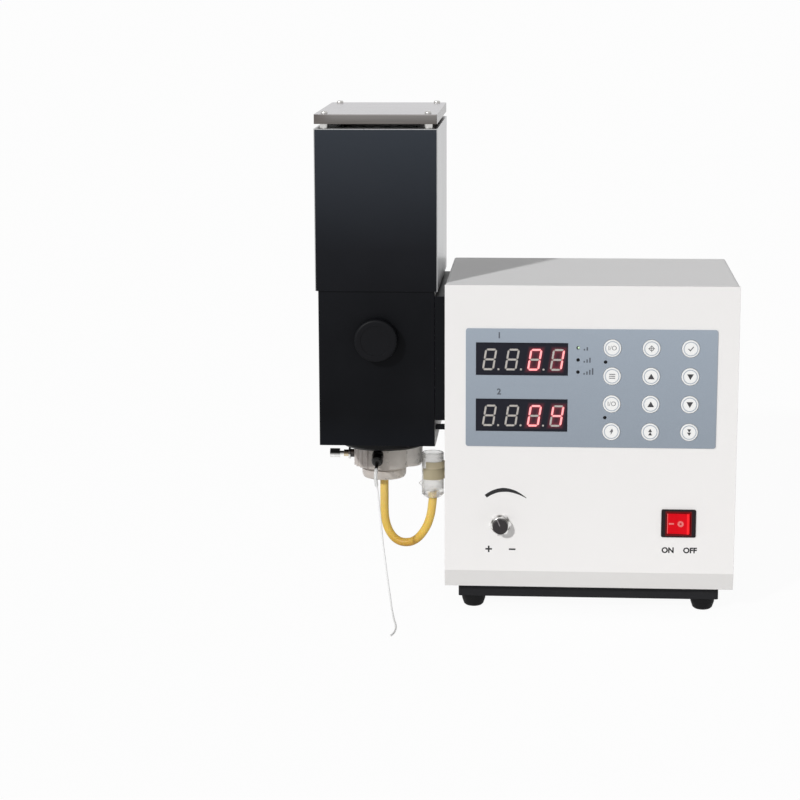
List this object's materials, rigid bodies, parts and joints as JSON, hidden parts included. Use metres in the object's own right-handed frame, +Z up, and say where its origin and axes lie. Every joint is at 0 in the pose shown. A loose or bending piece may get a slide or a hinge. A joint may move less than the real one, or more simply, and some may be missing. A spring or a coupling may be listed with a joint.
{
  "type": "flame photometer",
  "caption": "Bench flame photometer: keypad cabinet with a cantilevered burner tower, spray chamber, drain cup and sampling capillary.",
  "frame": {"origin": "on the bench under the middle of the object's bounding box, the two soft lines left out", "axes": "+Z up, -Y out of the front panel, +X to the right; the tower stands on the -X side"},
  "size_m": [0.3916, 0.2892, 0.4699],
  "materials": {
    "panel_paint": "satin white powder paint",
    "cover_paint": "satin grey powder paint",
    "tower_paint": "satin black paint",
    "black_paint": "semi-gloss black paint",
    "zinc_steel": "zinc-plated sheet",
    "stainless": "brushed",
    "bright_steel": "turned",
    "bright_chrome": "polished",
    "brass": "machined",
    "core_iron": "varnished laminations",
    "black_rubber": "matt",
    "black_plastic": "fine satin",
    "brown_plastic": "satin",
    "khaki_plastic": "satin",
    "plate_film": "printed film",
    "key_white": "printed film",
    "display_black": "glossy",
    "segment_red": "lit",
    "segment_grey": "unlit",
    "lamp_green": "diffused",
    "rocker_red": "translucent",
    "board_green": "coated board",
    "clear_glass": "polished",
    "smoky_plastic": "moulded, smoky and translucent",
    "clear_plastic": "moulded, clear",
    "yellow_rubber": "translucent latex",
    "capillary_plastic": "translucent white"
  },
  "bodies": {
    "housing": {"cabinet_cover": "cover_paint", "front_panel": "panel_paint", "rear_panel": "cover_paint", "chassis_plate": "zinc_steel", "base_tray": "black_paint", "feet": "black_rubber", "panel_screws": "bright_steel", "keypad_plate": "plate_film", "panel_board": "board_green", "display_upper": "display_black", "display_lower": "display_black", "digits_lit": "segment_red", "digits_unlit": "segment_grey", "indicator_lamps": "lamp_green", "switch_body": "black_plastic", "valve_body": "brass", "valve_nut": "bright_chrome", "power_transformer": "core_iron", "main_board": "board_green", "detector_block": "black_plastic", "mains_inlet": "black_plastic", "fuse_holder": "black_plastic", "hose_fittings": "brass", "tower_housing": "tower_paint", "upper_cover": "stainless", "cover_plate": "tower_paint", "lid": "stainless", "lid_pillars": "bright_steel", "lid_screws": "bright_steel", "light_duct": "tower_paint", "support_bar": "tower_paint", "burner_flange": "black_plastic", "burner_head": "stainless", "glass_chimney": "clear_glass", "mixing_chamber": "smoky_plastic", "chamber_base": "smoky_plastic", "nebuliser": "black_plastic", "needle_gland": "brown_plastic", "drain_cup": "clear_plastic", "cup_clip": "khaki_plastic", "drain_hose": "yellow_rubber", "capillary": "capillary_plastic"},
    "key_a1": {"key_a1": "key_white"},
    "key_a2": {"key_a2": "key_white"},
    "key_a3": {"key_a3": "key_white"},
    "key_b1": {"key_b1": "key_white"},
    "key_b2": {"key_b2": "key_white"},
    "key_b3": {"key_b3": "key_white"},
    "key_c1": {"key_c1": "key_white"},
    "key_c2": {"key_c2": "key_white"},
    "key_c3": {"key_c3": "key_white"},
    "key_d1": {"key_d1": "key_white"},
    "key_d2": {"key_d2": "key_white"},
    "key_d3": {"key_d3": "key_white"},
    "rocker": {"switch_rocker": "rocker_red"},
    "valve_knob": {"valve_spindle": "brass", "knob_skirt": "bright_chrome", "knob_cap": "black_plastic"},
    "port_cap": {"port_cap": "black_plastic"},
    "needle_screw": {"needle_screw": "bright_chrome"}
  },
  "joints": [
    {"name": "key_a1_press", "type": "slide", "parent": "housing", "child": "key_a1", "axis": [0, 1, 0], "range_m": [0, 0.0006], "stiffness_N_per_m": 1500, "springref_m": -0.0003},
    {"name": "key_a2_press", "type": "slide", "parent": "housing", "child": "key_a2", "axis": [0, 1, 0], "range_m": [0, 0.0006], "stiffness_N_per_m": 1500, "springref_m": -0.0003},
    {"name": "key_a3_press", "type": "slide", "parent": "housing", "child": "key_a3", "axis": [0, 1, 0], "range_m": [0, 0.0006], "stiffness_N_per_m": 1500, "springref_m": -0.0003},
    {"name": "key_b1_press", "type": "slide", "parent": "housing", "child": "key_b1", "axis": [0, 1, 0], "range_m": [0, 0.0006], "stiffness_N_per_m": 1500, "springref_m": -0.0003},
    {"name": "key_b2_press", "type": "slide", "parent": "housing", "child": "key_b2", "axis": [0, 1, 0], "range_m": [0, 0.0006], "stiffness_N_per_m": 1500, "springref_m": -0.0003},
    {"name": "key_b3_press", "type": "slide", "parent": "housing", "child": "key_b3", "axis": [0, 1, 0], "range_m": [0, 0.0006], "stiffness_N_per_m": 1500, "springref_m": -0.0003},
    {"name": "key_c1_press", "type": "slide", "parent": "housing", "child": "key_c1", "axis": [0, 1, 0], "range_m": [0, 0.0006], "stiffness_N_per_m": 1500, "springref_m": -0.0003},
    {"name": "key_c2_press", "type": "slide", "parent": "housing", "child": "key_c2", "axis": [0, 1, 0], "range_m": [0, 0.0006], "stiffness_N_per_m": 1500, "springref_m": -0.0003},
    {"name": "key_c3_press", "type": "slide", "parent": "housing", "child": "key_c3", "axis": [0, 1, 0], "range_m": [0, 0.0006], "stiffness_N_per_m": 1500, "springref_m": -0.0003},
    {"name": "key_d1_press", "type": "slide", "parent": "housing", "child": "key_d1", "axis": [0, 1, 0], "range_m": [0, 0.0006], "stiffness_N_per_m": 1500, "springref_m": -0.0003},
    {"name": "key_d2_press", "type": "slide", "parent": "housing", "child": "key_d2", "axis": [0, 1, 0], "range_m": [0, 0.0006], "stiffness_N_per_m": 1500, "springref_m": -0.0003},
    {"name": "key_d3_press", "type": "slide", "parent": "housing", "child": "key_d3", "axis": [0, 1, 0], "range_m": [0, 0.0006], "stiffness_N_per_m": 1500, "springref_m": -0.0003},
    {"name": "rocker_tilt", "type": "hinge", "parent": "housing", "child": "rocker", "pos_m": [0.142, -0.0961, 0.0893], "axis": [0, 0, 1], "range_deg": [0, 14]},
    {"name": "valve_turn", "type": "hinge", "parent": "housing", "child": "valve_knob", "pos_m": [-0.0236, -0.1021, 0.086], "axis": [0, -1, 0], "range_deg": [-135, 135]},
    {"name": "port_cap_pull", "type": "slide", "parent": "housing", "child": "port_cap", "axis": [0, -1, 0], "range_m": [0, 0.03]},
    {"name": "needle_turn", "type": "hinge", "parent": "housing", "child": "needle_screw", "pos_m": [-0.188, -0.0111, 0.1335], "axis": [-1, 0, 0], "range_deg": [-180, 180]}
  ]
}
